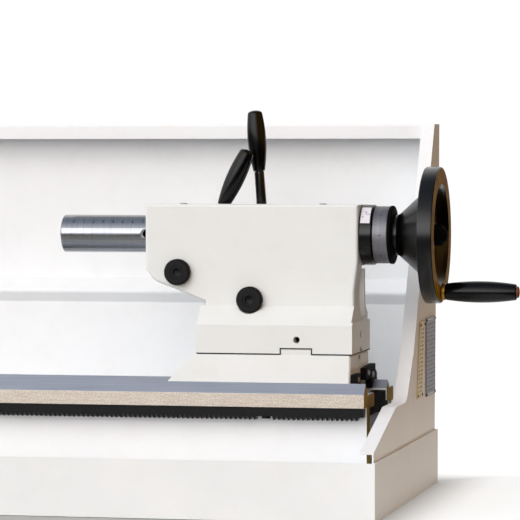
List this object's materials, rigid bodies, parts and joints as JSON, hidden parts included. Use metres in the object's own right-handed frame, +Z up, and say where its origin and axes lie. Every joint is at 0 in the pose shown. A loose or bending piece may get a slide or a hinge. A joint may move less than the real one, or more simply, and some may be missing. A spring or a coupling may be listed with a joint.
{
  "type": "lathe tailstock with bed end section",
  "caption": "Right-hand end of a metalworking lathe: sliding tailstock with quill, feed screw, dial and two lock levers, on a V-way bed section with chip tray and splash guard.",
  "frame": {"origin": "centre of the chip tray's underside, straight below the quill axis in Y", "axes": "+X along the spindle axis away from the headstock, +Y to the back of the machine, +Z up"},
  "size_m": [0.659, 0.4125, 0.3837],
  "materials": {
    "tray_enamel": "satin enamel on folded steel",
    "guard_enamel": "satin powder coat, cool light grey",
    "data_plate_print": null,
    "chart_plate_print": null,
    "ground_way_iron": "ground ways on ochre-painted grey iron",
    "bright_steel": "ground bright steel",
    "black_oxide_steel": "black oxide",
    "casting_enamel": "warm white machine enamel over filled casting",
    "wiper_rubber": "moulded oil-proof rubber",
    "bright_brass": "turned brass",
    "black_enamel": "black machine enamel",
    "mark_plate_print": "white enamel plate",
    "satin_chrome": "satin chrome with engraved divisions",
    "black_grip_plastic": "polished thermoset",
    "clamp_iron": "as cast with machined top"
  },
  "bodies": {
    "bed": {"chip_tray": "tray_enamel", "splash_guard_upper": "guard_enamel", "splash_guard_lower": "guard_enamel", "guard_end_wing": "guard_enamel", "data_plate": "data_plate_print", "chart_plate": "chart_plate_print", "bed_casting": "ground_way_iron", "feed_rack": "black_oxide_steel", "rack_screw_1": "black_oxide_steel", "rack_screw_2": "black_oxide_steel", "bed_end_stop": "black_oxide_steel", "stop_screw_1": "black_oxide_steel", "stop_screw_2": "black_oxide_steel", "foot_bolt_1": "bright_steel", "foot_bolt_2": "bright_steel", "foot_bolt_3": "bright_steel", "foot_bolt_4": "bright_steel"},
    "tailstock_base": {"base_casting": "casting_enamel", "way_wiper_front": "wiper_rubber", "way_wiper_rear": "wiper_rubber"},
    "setover_front": {"setover_screw_front": "black_oxide_steel"},
    "setover_rear": {"setover_screw_rear": "black_oxide_steel"},
    "tailstock_body": {"body_casting": "casting_enamel", "quill_key_screw": "black_oxide_steel", "oiler_1": "bright_brass", "oiler_2": "bright_brass", "bearing_flange": "black_enamel", "flange_screw_1": "black_oxide_steel", "flange_screw_2": "black_oxide_steel", "flange_screw_3": "black_oxide_steel", "zero_plate": "mark_plate_print", "thrust_bearing": "bright_steel"},
    "quill": {"quill": "bright_steel", "quill_nut": "bright_brass"},
    "feed_screw": {"feed_screw": "bright_steel", "wheel_key": "bright_steel", "wheel_nut": "black_oxide_steel", "dial_lock_ring": "black_enamel", "handwheel": "black_enamel", "crank_pin": "bright_brass"},
    "dial": {"dial": "satin_chrome"},
    "crank_grip": {"crank_grip": "black_grip_plastic"},
    "quill_lock": {"quill_lock_stud": "black_oxide_steel", "quill_lock_hub": "black_enamel", "quill_lock_rod": "black_enamel", "quill_lock_grip": "black_grip_plastic"},
    "bed_lock": {"eccentric_shaft": "black_oxide_steel", "bed_lock_hub": "black_enamel", "bed_lock_rod": "black_enamel", "bed_lock_grip": "black_grip_plastic"},
    "clamp": {"clamp_bolt": "bright_steel", "clamp_plate": "clamp_iron", "clamp_nut": "black_oxide_steel"}
  },
  "joints": [
    {"name": "tailstock_slide", "type": "slide", "parent": "bed", "child": "tailstock_base", "axis": [1, 0, 0], "range_m": [-0.2, 0.012]},
    {"name": "set_over", "type": "slide", "parent": "tailstock_base", "child": "tailstock_body", "axis": [0, 1, 0], "range_m": [-0.006, 0.006]},
    {"name": "setover_front_turn", "type": "hinge", "parent": "tailstock_base", "child": "setover_front", "pos_m": [0.1733, -0.021, 0.1597], "axis": [0, 1, 0], "range_deg": [-2161, 2161]},
    {"name": "setover_rear_turn", "type": "hinge", "parent": "tailstock_base", "child": "setover_rear", "pos_m": [0.1733, 0.023, 0.1597], "axis": [0, 1, 0], "range_deg": [-2161, 2161]},
    {"name": "handwheel_turn", "type": "hinge", "parent": "tailstock_body", "child": "feed_screw", "pos_m": [0.23, 0, 0.2607], "axis": [1, 0, 0], "range_deg": [-2150, 6830]},
    {"name": "quill_slide", "type": "slide", "parent": "tailstock_body", "child": "quill", "axis": [1, 0, 0], "range_m": [-0.024, 0.076]},
    {"name": "dial_turn", "type": "hinge", "parent": "feed_screw", "child": "dial", "pos_m": [0.25, 0, 0.2607], "axis": [1, 0, 0], "continuous": true},
    {"name": "crank_grip_spin", "type": "hinge", "parent": "feed_screw", "child": "crank_grip", "pos_m": [0.346, 0, 0.2057], "axis": [1, 0, 0], "continuous": true},
    {"name": "quill_lock_swing", "type": "hinge", "parent": "tailstock_body", "child": "quill_lock", "pos_m": [0.0514, 0.038, 0.224], "axis": [0, 1, 0], "range_deg": [-85, 15]},
    {"name": "bed_lock_swing", "type": "hinge", "parent": "tailstock_body", "child": "bed_lock", "pos_m": [0.1236, 0.058, 0.1976], "axis": [0, 1, 0], "range_deg": [-65, 0]},
    {"name": "clamp_lift", "type": "slide", "parent": "tailstock_body", "child": "clamp", "axis": [0, 0, 1], "range_m": [-0.0016, 0.0001]}
  ],
  "couplings": [
    {"joint": "quill_slide", "follows": "handwheel_turn", "m_per_rad": 0.00063662},
    {"joint": "setover_front_turn", "follows": "set_over", "rad_per_m": -6283.2},
    {"joint": "setover_rear_turn", "follows": "set_over", "rad_per_m": -6283.2},
    {"joint": "clamp_lift", "follows": "bed_lock_swing", "m_per_rad": 0.0013222}
  ]
}
